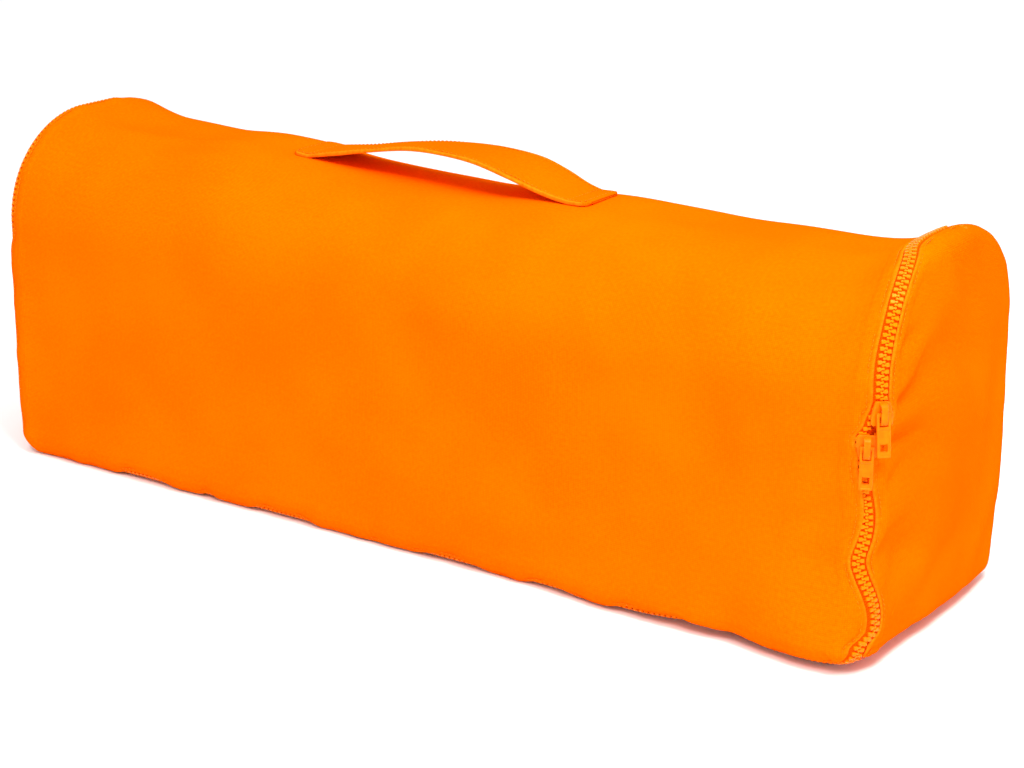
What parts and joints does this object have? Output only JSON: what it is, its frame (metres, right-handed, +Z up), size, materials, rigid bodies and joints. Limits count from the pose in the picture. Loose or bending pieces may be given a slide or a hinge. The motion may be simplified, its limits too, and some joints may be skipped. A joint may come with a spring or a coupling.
{
  "type": "yoga mat bag",
  "caption": "Long box-shaped canvas bag with a rounded top, a flat carrying strap and a moulded-tooth zip round the front, closed and filled out, with hinged pull tabs.",
  "frame": {"origin": "on the flat underside where the bag stands, half way along and half way across the plain form", "axes": "+X along the bag towards the end with the two sliders, -Y towards the front panel inside the zip, +Z up"},
  "size_m": [0.6928, 0.2006, 0.2492],
  "materials": {
    "canvas": "dyed cotton canvas, plain weave, matt",
    "canvas_strap": "folded and stitched strap of the same canvas",
    "zip_teeth": "moulded acetal teeth, satin gloss",
    "zip_slider": "moulded and coated slider with pull tab, satin gloss"
  },
  "bodies": {
    "bag": {"wrap_panel": "canvas", "end_panel_left": "canvas", "end_panel_right": "canvas", "zip_chain_front": "zip_teeth", "zip_chain_body": "zip_teeth", "handle_strap": "canvas_strap", "slider_upper": "zip_slider", "slider_lower": "zip_slider"},
    "tab_upper": {"pull_upper": "zip_slider"},
    "tab_lower": {"pull_lower": "zip_slider"}
  },
  "joints": [
    {"name": "tab_upper_hinge", "type": "hinge", "parent": "bag", "child": "tab_upper", "pos_m": [0.34221, -0.0904, 0.15901], "axis": [-0.7165, -0.6976, 0], "range_deg": [0, 150]},
    {"name": "tab_lower_hinge", "type": "hinge", "parent": "bag", "child": "tab_lower", "pos_m": [0.33566, -0.09499, 0.13931], "axis": [-0.9074, -0.4203, 0], "range_deg": [0, 150]}
  ]
}
